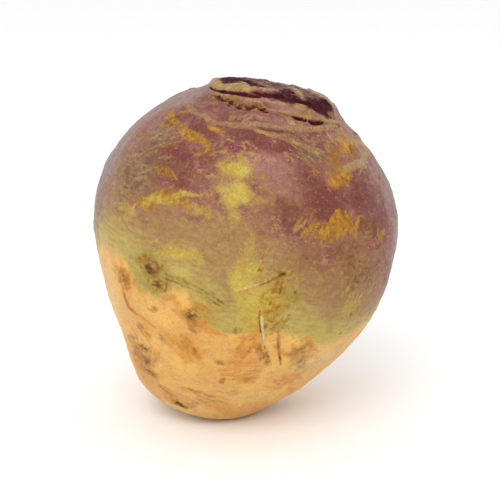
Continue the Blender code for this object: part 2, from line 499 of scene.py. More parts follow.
def mark_ledges(skin):
    """The rims of older leaf scars further down, with dark lines along them."""
    skin.strokes(
        "straw",
        (0.8, 0.4, 0.8, (292, 33.4), (299, 32.8), (305, 32), (314, 31), (326, 30.6)),
        (0.9, 0.2, 0.6, (307.5, 33), (308, 36.5), (311, 40.5)),
    )
    skin.patch("maroon", 0.9, -0.2, 296, 35.6, 2.6, 1, 10)
    skin.ledge("straw", 0.52, 0.28, 1.6, (246, 42.5), (255, 39.4), (262, 37.8), (270, 36.9), (278, 36.2),
               (286, 35.2), (294, 34), (303, 32.9), (312, 32.4), (322, 32.4))
    skin.strokes(
        "maroon",
        (1, -0.5, 1, (257, 41), (265, 39.8), (272, 38.8), (281, 38.2)),
        (0.7, -0.15, 0.9, (226, 46.4), (236, 46.2), (244, 44.8), (252, 43.8), (259, 44)),
        (0.5, -0.1, 0.9, (234, 41.6), (242, 40.6), (250, 38.4), (258, 36.4), (268, 34.8)),
    )
    skin.ledge("straw", 0.5, 0.22, 1.7, (190, 41), (204, 43), (222, 44.2), (236, 44), (245, 42.6),
               (252, 41.6), (262, 41.8), (272, 42.2), (282, 42.6), (292, 44.4), (304, 48.4))
    skin.clusters(
        "straw",
        (0.7, 322, 49.5, 8, 2.4, 24, 4, 0.6, 14, 0.08), (0.6, 251, 38.5, 6, 4, 82, 4, 0.5, 14, 0.08),
        (0.5, 290, 46, 7, 3.8, -30, 3, 0.4, 20, 0.04),
    )
    skin.ledge("straw", 0.68, 0.4, 1.7, (302, 51.5), (311, 50.8), (321, 50.2), (331, 47), (346, 44.4))
    skin.patch("khaki", 0.6, 0.1, 290, 46.5, 5.4, 3.6, -34)
    skin.clusters(
        "khaki",
        (0.85, 290, 46.5, 7.5, 4.6, -32, 4, 0.6, 24, 0.04), (0.75, 285, 38.6, 9, 2, 80, 3, 0.5, 14, 0.04),
    )
    for azimuth, down, half_width in (
        (261, 42.3, 2), (266, 42.8, 1.6), (282.5, 43, 1.4), (294, 46, 1.6), (249, 50.5, 1.4),
        (280, 33, 1.4), (257, 34, 1.4),
    ):
        skin.patch("gold", 0.7, 0, azimuth, down, half_width, 0.4 * half_width)


def mark_hidden_neck(skin):
    """More leaf scars, on the side that faces away."""
    random = np.random.default_rng(17)
    for turn in range(9):
        azimuth = -14.0 + 137.5 * turn
        azimuth = 6.0 + (azimuth % 168.0)
        down = 28.0 + 2.2 * turn
        half = random.uniform(19.0, 27.0)
        sag = random.uniform(1.5, 3.0)
        path = [(azimuth + half * t, down - sag * t * t) for t in (-1.0, -0.6, -0.2, 0.2, 0.6, 1.0)]
        skin.ledge("straw", 0.62, random.uniform(0.4, 0.8), random.uniform(1.0, 1.8), *path)
        if turn % 2 == 0:
            slit = [(azimuth + 0.5 * half * t, down - sag * 0.25 * t * t - 1.5) for t in (-1.0, 0.0, 1.0)]
            skin.stroke("night", 0.95, -0.9, 0.9, *slit)
        else:
            skin.patch("bark", 0.7, -0.4, azimuth, down - 1.8, 3.0, 1.0)
            skin.streaks("soil", 0.8, azimuth, down - 1.8, 2.2, 0.6, 15, 1.3, 0.4, 6, depth=-0.2)


def mark_purple(skin):
    """Flat patches on the purple shoulder of the near side, with painted sheen at its edges and a painted
    highlight.
    """
    # Painted sheen: pale lavender patches along the left and right edges of the near view, a little waxy
    # bloom but mostly the whitish reflection seen there at grazing angles.
    skin.patches(
        "bloom_and_rim_sheen",
        (1, 186, 42, 9, 12, 20), (0.9, 184, 72, 12, 26), (0.7, 193, 44, 7, 6), (0.85, 354, 78, 13, 30),
        (0.8, 195, 82, 8, 18),
    )
    skin.patches(
        "haze",
        (0.8, 264, 86, 11, 11), (0.75, 243, 90, 13, 6), (0.8, 214, 82, 13, 15), (0.6, 258, 63, 10, 9),
        (0.95, 316, 98, 16, 12), (0.7, 290, 90, 10, 9), (0.45, 302, 56, 7, 7), (0.5, 305, 79, 14, 5),
        (0.3, 265, 33, 24, 5), (0.55, 205, 45, 8, 8), (0.9, 324, 39, 10, 5.5, 8), (0.7, 276, 66, 10, 9),
    )
    skin.patches(
        "bark",
        (0.42, 314, 92, 13, 8), (0.8, 326, 43.6, 3.4, 1.6, 20), (0.45, 306, 47.5, 3.4, 2.6),
        (0.5, 213, 53, 2.5, 1.6), (0.6, 212, 51.2, 3.2, 2), (0.55, 319.5, 73.6, 4.4, 2.6, -10),
        (0.4, 308, 84, 10, 4.6), (0.3, 292, 88, 7, 5), (0.24, 294, 69, 14, 11), (0.3, 209, 35, 6, 4),
        (0.3, 208, 77, 3, 5),
    )
    # Partly painted shade: the wide maroon patches near azimuth 209 and 225 darken the left side of the
    # near view.
    skin.patches(
        "maroon",
        (0.7, 289, 58, 5, 5), (0.7, 313, 41.5, 3, 3.6), (0.9, 217.5, 48.6, 5, 2.2), (1, 320, 73.6, 5, 3),
        (0.9, 327, 76.6, 3.4, 4), (1, 231, 50, 7.5, 2, -8), (0.9, 232, 65, 5.5, 5, -20),
        (1, 257, 46.8, 7, 3.2), (1, 279, 45.8, 5.5, 2.4), (0.95, 296, 65, 8, 7), (0.95, 317, 61, 9, 5.6),
        (0.7, 330, 68, 7, 8), (0.8, 240, 38, 5.5, 3.6), (0.5, 308, 83, 10, 3.6), (0.75, 282, 73, 6, 5),
        (0.5, 292, 88, 7, 5), (0.4, 318, 93.5, 11, 6), (0.9, 224, 37, 7, 3), (0.85, 211, 45, 6, 3.4),
        (0.6, 300, 45, 5, 4), (0.8, 240, 73, 6, 3), (0.6, 250, 80, 6, 3), (0.8, 226, 73, 7, 3, -10),
        (0.75, 225, 66, 12, 10), (0.6, 209, 36, 6, 4), (0.5, 242, 59, 4.6, 6), (0.6, 240, 69, 5, 3.6, -20),
    )
    # Painted highlight: the lilac patches at azimuth 270 and 280, down 56 and 62, stand for the soft gloss
    # on the middle of the shoulder.
    skin.patches(
        "lilac_and_highlight",
        (0.75, 238, 35, 12, 2.6), (0.6, 268, 33, 12, 2.4), (0.9, 270, 56, 8, 5), (0.6, 280, 62, 7, 7),
        (0.6, 222, 38, 9, 4.4),
    )
    skin.patch("rust", 1, -0.1, 321.5, 40.2, 7, 4.2, 14)
    skin.patches(
        "rust",
        (0.9, 320, 39.6, 4.4, 3, 14), (0.8, 314, 43, 5, 2.4, 30), (0.9, 208, 50.8, 6, 2, -14),
        (0.7, 213, 46, 2.6, 1.6), (0.7, 241, 37.5, 1.6, 1.6), (0.55, 227, 38.5, 2.4, 1.4),
        (0.62, 303.5, 57, 5.2, 3.2, 20), (1, 309.5, 53.6, 2.8, 1.9), (0.6, 305, 48, 3.4, 3.4),
        (0.9, 306, 72.5, 5.4, 2.2, 6),
    )
    skin.patches("blush", (0.65, 320.5, 39.8, 4.2, 2.8, 14), (0.65, 300.5, 58, 3, 2.2))


def streak_purple(skin):
    """Flecks, rusty lines and the pale winding line on the purple shoulder of the near side."""
    skin.clusters(
        "bark",
        (0.8, 325, 42.6, 4, 2.2, 60, 3, 0.6, 10), (0.35, 319.5, 74.8, 4.6, 3, 84, 4, 0.8, 12),
        (0.8, 327, 76.6, 2.4, 3.2, 70, 3, 0.7, 7), (0.4, 222, 66, 8, 7, 20, 4, 1, 14),
    )
    skin.clusters(
        "gold",
        (0.6, 317, 38.5, 2.5, 1.8, 60, 2.4, 0.4, 7), (0.5, 254, 57, 6, 3, 30, 3, 0.6, 10),
        (0.55, 219, 91.5, 8, 2.4, 34, 4, 0.45, 16), (0.5, 287, 77, 4.6, 2.6, 60, 4, 0.6, 8),
        (0.42, 266, 54, 8, 3, 40, 4, 0.6, 7),
    )
    skin.clusters(
        "rust",
        (0.9, 210, 52, 5, 2.4, -20, 4, 0.9, 8), (0.85, 229, 55.2, 6.5, 1.5, -14, 4.5, 0.5, 13),
        (0.9, 305, 73, 8, 3.6, 70, 6, 1, 20), (0.8, 296, 77, 6, 2.4, 60, 5, 0.7, 10),
        (0.35, 320, 75.4, 4.6, 3, 84, 3, 0.6, 8), (0.8, 326, 77, 3, 3.6, 75, 4, 0.8, 6),
        (0.6, 238, 79.6, 7, 1.4, 28, 5, 0.8, 16), (0.55, 229, 86, 6, 1.6, 36, 5, 0.7, 14),
        (0.65, 232, 72, 6.5, 1.5, -24, 6, 0.4, 11), (0.6, 289, 76.4, 4.6, 2.6, 62, 4, 0.6, 10),
        (0.3, 207, 77, 2.4, 6, 80, 3, 0.6, 8),
    )
    skin.strokes(
        "rust",
        (0.78, 0, 1, (217, 52), (225, 53), (233, 53.4), (239.5, 54.6), (242, 57), (241.4, 59.4)),
        (0.6, 0, 0.9, (241.4, 59.4), (237.4, 62)),
        (0.9, 0, 1.1, (234, 47.2), (238, 48), (242.5, 48)),
    )
    skin.patches(
        "gold",
        (1, 258, 60, 4.4, 3.8), (1, 261, 71, 5.2, 3.8, 8), (0.75, 252.5, 61.5, 3.6, 2.2, -20),
        (0.6, 258, 66, 2.6, 3), (0.3, 257, 64, 8, 10), (0.55, 261, 78, 2.2, 3),
    )
    skin.strokes(
        "gold",
        (0.85, 0, 1.5, (249, 75.5), (242.5, 77), (236.5, 81.5), (231, 84.8), (225, 89), (218, 95),
         (208, 101)),
        (0.6, 0, 2, (244, 81), (250, 80), (255, 80)),
    )


def mark_left_shoulder(skin):
    """The worn khaki of the left shoulder, with straw and maroon streaks across it; its maroon and soil
    streaks are partly painted shade.
    """
    skin.patch("khaki", 0.9, 0.15, 214.5, 60, 7.5, 6.5, 20)
    skin.patches(
        "khaki",
        (0.6, 216, 70, 4, 4), (0.7, 196, 84, 7, 20), (0.4, 270, 34, 12, 1.6), (0.5, 190, 45, 6, 14),
    )
    skin.patch("khaki", 0.8, 0.1, 216, 78, 13, 11)
    skin.streaks("straw", 0.5, 217, 66, 12, 14, 35, 5, 0.6, 34, depth=0.05)
    # Partly painted shade: these soil and maroon streaks darken the left shoulder of the near view.
    skin.streaks("soil", 0.3, 222, 66, 10, 9, 15, 4, 0.7, 14)
    skin.streaks("maroon", 0.75, 226, 66, 12, 8, 6, 5, 0.8, 16)


def mark_green(skin):
    """Patches and root scars of the green zone, on the near side."""
    skin.patches(
        "gold",
        (0.5, 269, 90, 2.6, 8), (0.85, 246, 98.5, 6.5, 2.6, 10), (1, 271, 102, 4, 8), (1, 280, 109, 8, 10),
        (0.5, 318, 106, 5, 6),
    )
    skin.patches("moss", (0.6, 289, 104, 5, 6), (0.7, 262, 119.5, 5, 2.6, -14))
    skin.streaks("gold", 0.6, 316, 103, 7, 6, 75, 3, 0.5, 16)
    skin.patches(
        "rust",
        (0.68, 285.5, 108, 4.6, 10), (0.5, 285.5, 105, 4.4, 8), (0.65, 284, 100, 2.2, 3.6),
        (0.35, 286, 121, 4, 6),
    )
    skin.clusters(
        "rust",
        (0.55, 285, 110, 4, 9, 84, 4, 0.6, 16), (0.6, 279, 94, 4, 4, 70, 2.5, 0.5, 8),
        (0.5, 289, 116, 3.5, 5, 85, 4, 0.7, 12),
    )
    skin.patch("moss", 0.8, 0.3, 238, 110, 8.5, 8)
    root_scar(skin, 236.8, 106.6, 5.4, 3.4, halo="moss", dark=0.7)
    skin.streaks("soil", 0.7, 238, 108, 3, 1.6, 20, 1.6, 0.55, 5, depth=-0.2)
    root_scar(skin, 241.5, 112.8, 4.6, 2.9, halo="moss")
    skin.strokes(
        "smudge",
        (0.8, 0, 1.4, (238, 114.5), (239.5, 118)),
        (0.9, -0.1, 1.6, (254, 121), (256, 125), (259, 128)),
    )
    skin.patch("blush", 0.9, 0.1, 253, 120.5, 2.6, 2.8, -30)
    root_scar(skin, 256.5, 120.2, 3.8, 3, halo="blush", dark=0.8)
    skin.stroke("blush", 1, 0.15, 0.9, (258, 124.5), (264, 126), (272, 125.5))
    skin.clusters(
        "bark",
        (0.6, 274, 122, 2, 1.6, 85, 3, 0.6, 5), (0.5, 290, 132, 1.8, 4.6, -65, 2, 0.5, 12, -0.2),
    )


def mark_cuts(skin):
    """The pair of grooves across the green zone, and the fine cuts and curls on their right."""
    for drop, strength in ((0, 0.45), (1.8, 0.38)):
        groove = [(242, 107.3), (250, 107.2), (258, 108.2), (268, 111.8)]
        groove = [(azimuth, down + drop) for azimuth, down in groove]
        skin.stroke("moss", 1, -0.2, 0.62, *groove, lips=0.1)
        skin.stroke("bark", strength, 0, 0.45, *groove)
    skin.stroke("straw", 0.35, 0.1, 0.4, (243, 108.3), (251, 108.4), (259, 109.4), (268, 112.4))
    skin.strokes(
        "bark",
        (0.5, -0.3, 0.5, (276.5, 101.3), (279, 99.8), (282, 97.4), (284.5, 95)),
        (0.6, -0.1, 0.4, (284.3, 97), (285, 103)),
        (0.45, -0.1, 0.3, (274, 91.4), (275.2, 90.8), (276.3, 91.9), (275.4, 93)),
        (0.45, -0.1, 0.3, (275, 96), (276.2, 95.6), (276.4, 97), (275.2, 97.2)),
    )
    scratch(skin, 0.35, (277.5, 100.5), (280, 98.8), (282.4, 96.8), (284.5, 94.4))
    skin.stroke("blush", 0.8, 0, 0.5, (267, 107), (272, 104.2), (277, 101))
    skin.stroke("peel_and_bounce_light", 0.6, 0.14, 0.38, (269, 105.4), (273.5, 102.6), (279.6, 98.9))
    skin.patch("bark", 0.8, -0.3, 283.8, 95.6, 1.6, 1.2, 40)
    skin.patch("soil", 0.8, -0.2, 284.2, 95.2, 0.9, 0.6, 40)
    skin.stroke("rust", 0.8, 0, 0.5, (276.8, 86), (275.4, 91))


def mark_long_cuts(skin):
    """The long peeled cuts that run from the green zone into the cream."""
    skin.stroke("blush", 0.8, 0, 1.6, (280, 112), (282, 120), (286, 128), (292, 135))
    scratch(skin, 0.6, (279.9, 110.5), (280.7, 114.5), (282.6, 119), (286.6, 126.5))
    skin.stroke("peel_and_bounce_light", 0.85, 0.3, 0.55, (281.2, 113), (282.6, 117), (284.6, 122), (286.8, 126.5))
    skin.strokes(
        "smudge",
        (0.95, -0.1, 1.6, (284, 124), (287, 129), (291, 134), (295, 138)),
        (0.75, -0.3, 0.8, (290, 119), (292, 123.5), (295, 129.5), (299, 135)),
    )
    skin.stroke("bark", 0.4, -0.3, 0.8, (287.5, 127.5), (290, 131), (293, 135), (296, 138))
    skin.streaks("peel_and_bounce_light", 0.45, 290, 131, 2.2, 4.6, -65, 2, 0.4, 9, depth=0.15)
    skin.stroke("bark", 0.34, -0.35, 0.6, (292, 124), (295, 129.6), (298, 134), (300.5, 137.2), lips=0.15)
    scratch(skin, 0.36, (296, 131.4), (298, 134), (300.5, 137.2))
    skin.patch("soil", 0.45, -0.3, 300, 136.6, 0.9, 0.8)


def scratch(skin, strength, *path):
    """A narrow dark cut with raised lips."""
    skin.stroke("bark", strength, -0.4, 0.36, *path, lips=0.18)
    skin.stroke("soil", 0.8 * strength, -0.15, 0.2, *path)


def mark_cream(skin):
    """The left of the cream root on the near side, where the side roots sat, and a wash of painted bounce
    light over the bottom.
    """
    skin.patches("peel_and_bounce_light", (0.4, 206, 132, 12, 18), (0.42, 326, 136, 15, 11), (0.3, 300, 160, 20, 10))
    # Painted sheen: a faint pale lavender patch near the left edge of the near view.
    skin.patch("bloom_and_rim_sheen", 0.24, 0, 209, 122, 10, 15)
    skin.patches("smudge", (0.3, 240, 146, 5, 4), (0.6, 227, 156, 6.5, 11))
    # Painted bounce light: a pale wash that lightens the whole root towards its bottom, where light from
    # the floor falls.
    skin.add("peel_and_bounce_light", 0.3, smooth(skin.down, 140, 178))
    skin.patch("blush", 1, 0.1, 225, 117.5, 6, 5.4)
    skin.patch("rust", 0.8, 0, 225, 117, 4, 4)
    root_scar(skin, 225, 117, 3.8, 3.4, halo="blush", dark=0.4)
    skin.clusters(
        "rust",
        (0.75, 225, 118, 4.4, 4.4, 40, 2.8, 0.6, 14), (0.5, 256, 138.5, 5, 3.6, -30, 2.2, 0.7, 10),
        (0.6, 276.8, 151.6, 1, 1.8, 70, 2, 0.5, 5),
    )
    skin.stroke("blush", 0.9, -0.15, 0.9, (223.5, 121), (223, 126), (225, 131), (232, 132.5), (241, 134.5),
                lips=0.1)
    skin.stroke("smudge", 0.8, -0.15, 0.7, (223.5, 122), (223, 127), (224.5, 131), (230, 133))
    root_scar(skin, 232.5, 149.2, 3.6, 2.5, halo="blush", dark=0.6)
    root_scar(skin, 229, 157, 3.4, 2.2, halo="blush", dark=0.55)
    root_scar(skin, 230.5, 163, 3.4, 2, halo="blush", dark=0.55)


def stain_cream(skin):
    """Blushes, smudges and pale scuffs all over the cream root of the near side."""
    skin.patches(
        "blush",
        (0.5, 227, 156, 7, 11), (0.7, 234, 139, 4, 4), (0.9, 256.5, 139, 6.4, 5.4),
        (0.8, 279.5, 128, 3.6, 3.4), (0.6, 286, 139, 9, 6), (0.85, 250, 173, 8, 4), (0.8, 215, 165, 9, 14),
        (0.6, 300, 172, 18, 6),
    )
    skin.clusters(
        "blush",
        (0.85, 222, 158, 10, 9, 12, 7, 1.1, 18, -0.12), (0.9, 279.5, 130, 4.4, 6.5, 80, 5, 0.9, 16),
        (0.75, 280, 146, 12, 7, 20, 9, 0.9, 16), (0.8, 308, 128, 12, 6, -35, 9, 1.2, 12),
        (0.7, 318, 150, 12, 8, -25, 10, 1.2, 12),
    )
    skin.clusters(
        "smudge",
        (0.75, 226, 156, 6, 10, 14, 6, 0.9, 16, -0.12), (0.75, 234, 140, 3, 3, -30, 3, 0.7, 6, -0.15),
        (0.6, 281, 130, 3.6, 5, 80, 4, 0.6, 9), (0.5, 286, 152, 10, 8, 24, 9, 0.5, 8, -0.06),
        (0.45, 262, 168, 18, 6, -18, 9, 0.9, 9, -0.06),
    )
    skin.clusters(
        "peel_and_bounce_light",
        (0.36, 237, 152, 5, 9, 70, 8, 0.6, 12, 0.12), (0.32, 228, 141, 6, 6, -60, 7, 0.6, 10, 0.12),
        (0.36, 292, 143, 8, 6, 20, 6, 0.7, 12), (0.45, 312, 137, 4.6, 2.4, -38, 4, 0.45, 9, 0.12),
        (0.35, 272, 172, 20, 7, 12, 10, 0.7, 16, 0.06),
    )


def mark_cream_scars(skin):
    """Small sunken scars on the cream root of the near side."""
    for strength, depth, *oval in (
        (0.9, -0.15, 239, 126.5, 1.6, 1.6), (0.8, -0.15, 243.5, 138.2, 1.4, 1.8, 40),
        (0.5, -0.1, 255, 138, 4.6, 3.6, -30), (0.9, -0.1, 272, 141.3, 1.8, 1.2),
        (1, -0.1, 276.8, 151.8, 1, 1.6, -10), (0.6, -0.1, 290, 148, 4, 1.2, 35),
        (0.8, -0.15, 306, 128.5, 4.8, 2.6, 20), (0.85, -0.2, 312, 136, 8.6, 4.2, -38),
        (1, -0.1, 262, 163.2, 2.2, 1.1, -14), (1, -0.1, 274.5, 164.2, 2.2, 1.2, -10),
    ):
        skin.patch("smudge", strength, depth, *oval)
    skin.clusters(
        "bark",
        (0.36, 257, 139.5, 4, 3, -30, 1.6, 0.6, 8, -0.12), (0.42, 305.5, 128, 3.8, 2, 25, 2, 0.5, 9, -0.08),
        (0.36, 312, 136, 5.6, 3.2, -38, 4, 0.55, 9, -0.08),
    )
    root_scar(skin, 255, 176.5, 3.2, 1.4, halo="smudge")
    skin.stroke("smudge", 0.9, -0.15, 1.6, (240, 170), (247, 173), (254, 175.5))
    skin.stroke("soil", 0.9, -0.6, 0.8, (252, 175.4), (257, 178))


def mark_dots(skin):
    """Small dark pores."""
    for azimuth, down in ((264.5, 65), (301, 77), (290.5, 101.5), (320, 109.5), (321, 119), (330, 98)):
        skin.patch("bark", 0.9, -0.15, azimuth, down, 0.8, 0.8)


def far_azimuth(random):
    """Somewhere on the side that faces away."""
    return random.uniform(-12.0, 172.0)


def scatter_patches(skin, random, *rows):
    """Patches on the far side. A row gives their count, pigment and strength, the ranges of their distance
    down, half width and half height, how far they lean at most, and their depth."""
    for count, pigment, strength, downs, widths, heights, lean, depth in rows:
        for _ in range(count):
            skin.patch(pigment, strength * random.uniform(0.75, 1.15), depth, far_azimuth(random),
                       random.uniform(*downs), random.uniform(*widths), random.uniform(*heights),
                       random.uniform(-lean, lean))


def scatter_clusters(skin, random, *rows):
    """Clusters of strokes on the far side. A row gives their count, pigment and strength, the ranges of
    their distance down and of their lean, and their strokes' length, width, number and depth."""
    for count, pigment, strength, downs, leans, *strokes in rows:
        for _ in range(count):
            skin.streaks(pigment, strength, far_azimuth(random), random.uniform(*downs),
                         random.uniform(5, 11), random.uniform(3, 8), random.uniform(*leans), *strokes)


def mark_far_side(skin):
    """Patches and scars on the side that faces away, like those on the near side."""
    random = np.random.default_rng(5)
    scatter_patches(
        skin, random,
        (18, "maroon", 0.8, (44, 95), (4, 9), (2.5, 6), 30, 0),
        (9, "haze", 0.75, (60, 108), (6, 14), (5, 11), 30, 0),
        (11, "khaki", 0.8, (50, 98), (5, 13), (3, 9), 30, 0.1),
        (9, "rust", 0.8, (38, 84), (2, 6), (1.5, 4), 30, 0),
        (10, "gold", 0.8, (58, 112), (2.5, 6), (2.5, 8), 30, 0),
        (6, "lilac_and_highlight", 0.7, (40, 80), (4, 8), (3, 5), 30, 0),
        (5, "bloom_and_rim_sheen", 0.7, (40, 95), (8, 14), (8, 18), 30, 0),
    )
    scatter_clusters(
        skin, random,
        (7, "rust", 0.85, (42, 86), (10, 80), 5, 0.9, 12),
        (5, "straw", 0.6, (50, 90), (15, 40), 5, 0.86, 12),
        (7, "maroon", 0.75, (48, 92), (-10, 30), 5, 0.9, 12),
        (5, "bark", 0.5, (50, 96), (0, 80), 3, 0.86, 9),
        (4, "gold", 0.7, (80, 112), (50, 90), 4, 0.86, 12),
    )
    scatter_patches(
        skin, random,
        (8, "moss", 0.7, (103, 122), (3, 9), (2, 5), 40, 0),
        (6, "peel_and_bounce_light", 0.4, (126, 172), (8, 16), (6, 14), 30, 0),
        (13, "blush", 0.85, (122, 180), (3, 9), (3, 7), 30, 0),
        (15, "smudge", 0.85, (120, 186), (1, 3.5), (0.8, 2.4), 40, -0.12),
    )
    scatter_clusters(
        skin, random,
        (8, "blush", 0.85, (122, 176), (-35, 35), 8, 1.0, 14),
        (7, "smudge", 0.7, (122, 180), (-30, 30), 6, 0.9, 9, -0.08),
        (5, "peel_and_bounce_light", 0.4, (128, 172), (-50, 50), 7, 0.86, 9, 0.08),
    )
    scar_far_side(skin, random)


def scar_far_side(skin, random):
    """Root scars, shallow furrows and cuts on the side that faces away."""
    for azimuth, down, size in (
        (4, 107, 2.6), (22, 119, 3.6), (13, 137, 1.7), (31, 151, 2.2), (9, 166, 1.5), (64, 128, 1.8),
        (86, 109, 2.2), (101, 160, 1.6), (136, 104, 1.9), (157, 113, 3.4), (146, 127, 2.0),
        (163, 142, 1.6), (149, 155, 2.8), (158, 172, 1.7),
    ):
        halo = "moss" if down < 116 else "blush"
        root_scar(skin, azimuth, down, size, size * random.uniform(0.6, 0.85), halo,
                  random.uniform(0.7, 1.0))
    for _ in range(5):
        middle, down = far_azimuth(random), random.uniform(126, 168)
        slope, bow = random.uniform(-0.35, 0.35), random.uniform(-2.5, 2.5)
        path = bowed(middle, down, 18.0, slope, bow, (-1.0, -0.5, 0.0, 0.5, 1.0))
        skin.stroke("smudge", 0.8, -0.2, 0.9, *path, lips=0.12)
    for _ in range(6):
        middle, down, half = far_azimuth(random), random.uniform(92, 158), random.uniform(4.0, 11.0)
        slope, bow = random.uniform(-0.8, 0.8), random.uniform(-1.0, 1.0)
        path = bowed(middle, down, half, slope, bow, (-1.0, -0.3, 0.3, 1.0))
        scratch(skin, random.uniform(0.45, 0.75), *path)
        beside = [(azimuth, lower + 0.9) for azimuth, lower in path[1:]]
        skin.stroke("peel_and_bounce_light", 0.4, 0.1, 0.4, *beside)


def bowed(middle, down, half, slope, bow, shares):
    """A bowed path on the skin, half degrees to either side of its middle, read at shares of that half."""
    return [(middle + half * t, down + half * slope * t + bow * t * t) for t in shares]


def mark_underside(skin):
    """The root end: the tap root's scar, a little beside the axis, with wrinkles drawn in to it."""
    root_scar(skin, 200, 203, 4.6, 4.2)
    skin.patch("soil", 0.8, -0.8, 200, 203, 2.2, 2.0)
    for azimuth in range(0, 360, 24):
        skin.stroke("bark", 0.5, -0.2, 0.6, (azimuth, 200), (azimuth + 5, 193), (azimuth + 3, 186))


def swell(skin):
    """The hollows and the swelling that only this root has, and the roughness that all its skin has."""
    for depth, *oval in (
        (-1.3, 150, 33, 11, 7), (-0.5, 268, 22, 14, 5), (-0.8, 350, 25, 12, 5), (-0.9, 10, 20, 9, 4),
        (-0.7, 85, 18, 22, 6), (-0.7, 190, 125, 24, 40), (0.5, 285, 185, 20, 10),
    ):
        skin.patch(None, 0.0, depth, *oval)
    lumps = 0.25 * skin.noise(26.0, 2, shift=3.0)
    dents = 0.08 * skin.noise(8.0, 3, shift=9.0)
    rings = 0.04 * skin.noise(2.6, 2, stretch=(0.16, 0.16, 1.0), shift=5.0)
    grain = 0.02 * skin.noise(1.2, 2, shift=1.0)
    lower = smooth(skin.down, 118.0, 135.0)
    folds = 0.09 * skin.noise(5.0, 2, stretch=(0.35, 0.35, 1.0), shift=7.0) * lower
    skin.relief += lumps + dents + rings * (1.0 - 0.4 * lower) + grain + folds
    fibres = skin.fibre_noise(1.1, 14.0)
    neck = smooth(skin.down, 20.0, 24.0) * (1.0 - smooth(skin.down, 38.0, 50.0))
    skin.relief += 0.028 * fibres * neck
    top = (1.0 - smooth(skin.down, 18.0, 23.0)) * (1.0 - 0.7 * skin.paint["straw"])
    skin.relief += top * (0.20 * skin.noise(4.0, 3, shift=2.0) + 0.10 * skin.noise(1.6, 2, shift=4.0))


def mark_all(skin):
    """Every mark, from the crown to the root end."""
    for mark in (
        mark_crown, mark_neck, mark_leaf_scars, mark_ledges, mark_hidden_neck, mark_purple, streak_purple,
        mark_left_shoulder, mark_green, mark_cuts, mark_long_cuts, mark_cream, stain_cream,
        mark_cream_scars, mark_dots, mark_far_side, mark_underside,
    ):
        mark(skin)


# ---------------------------------------------------------------- the mesh

def ring_places(length):
    """Distances down the skin of the lattice's rings, FINEST to a cell."""
    neck = int(NECK_REACH / NECK_STEP)
    body = int((length - NECK_REACH) / BODY_STEP)
    cells = np.concatenate([
        np.linspace(0.0, NECK_REACH, neck + 1),
        np.linspace(NECK_REACH, length, body + 1)[1:],
    ])
    return np.interp(np.arange(FINEST * (len(cells) - 1) + 1) / FINEST, np.arange(len(cells)), cells)


def cell_cuts(outline, downs):
    """Into how many parts each cell of the lattice is cut, in each direction."""
    rows = (len(downs) - 1) // FINEST
    middles = downs[FINEST // 2::FINEST]
    azimuths = (np.arange(COLUMNS) + 0.5) * 360.0 / COLUMNS
    azimuth, down = np.meshgrid(azimuths, middles)
    skin = Skin(outline, azimuth.ravel(), down.ravel())
    mark_all(skin)
    fields = np.stack([*skin.paint.values(), skin.relief]).reshape(-1, rows, COLUMNS)
    across = np.abs(np.roll(fields, 1, axis=2) - fields).max(axis=0)
    along = np.abs(np.diff(fields, axis=1, prepend=fields[:, :1])).max(axis=0)
    busy = np.maximum(across, along) > BUSY
    busy |= np.roll(busy, -1, axis=0) | np.roll(busy, -1, axis=1)
    fine = skin.fine.reshape(rows, COLUMNS)
    near = np.abs(angle_from(azimuth, NEAR_MIDDLE)) < NEAR_HALF
    cuts = np.ones((rows, COLUMNS), int)
    cuts[(busy & near) | (fine & ~near)] = 2
    cuts[fine & near & (down > FINE_TOP) & (down < FINE_END)] = FINEST
    cuts[(down < COARSE_TOP) | (down > COARSE_END)] = 1
    return cuts


def lattice_cells(cuts):
    """The cells as (column, ring, size) on the lattice."""
    found = []
    for (row, column), cut in np.ndenumerate(cuts):
        size = FINEST // int(cut)
        for j in range(0, FINEST, size):
            for i in range(0, FINEST, size):
                found.append((column * FINEST + i, row * FINEST + j, size))
    return found


def walk_around(column, ring, size):
    """The lattice points on a cell's edge, in order."""
    for k in range(size):
        yield column, ring + k
    for k in range(size):
        yield column + k, ring + size
    for k in range(size):
        yield column + size, ring + size - k
    for k in range(size):
        yield column + size - k, ring


def join_cells(cells, last_ring):
    """Faces over the cells. Where a neighbour is finer, its corners are in the coarser cell's edge too."""
    turn = COLUMNS * FINEST
    used = {}

    def key(column, ring):
        return (0, ring) if ring in (0, last_ring) else (column % turn, ring)

    for column, ring, size in cells:
        for i, j in ((0, 0), (size, 0), (size, size), (0, size)):
            used.setdefault(key(column + i, ring + j), len(used))
    faces, corners = [], []
    for column, ring, size in cells:
        face, corner = [], []
        for i, j in walk_around(column, ring, size):
            index = used.get(key(i, j))
            if index is not None and (not face or index != face[-1]):
                face.append(index)
                corner.append((i, j))
        if face[0] == face[-1]:
            face.pop()
            corner.pop()
        faces.append(face)
        corners.extend(corner)
    return used, faces, corners


def stand_on_floor(points):
    """Keeps the flat spot flat: no relief close to the floor, and nothing below it."""
    z = points[:, 2] / MM
    z = np.maximum(0.0, z - 0.3 * (1.0 - smooth(z, 0.0, 2.5)))
    points[:, 2] = z * MM
    return points


def raised_points(skin):
    """The skin's places in the shared frame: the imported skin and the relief, which fades at the floor."""
    normals = skin.outline.normal(skin.azimuth, skin.down)
    base = skin.points + skin.outline.stand_off(skin.azimuth, skin.down)[:, None] * normals
    fade = smooth(to_world(base)[:, 2] / MM, 0.4, 4.0)
    relief = np.clip(skin.relief, DEEPEST, HIGHEST) * fade
    return stand_on_floor(to_world(base + relief[:, None] * normals))


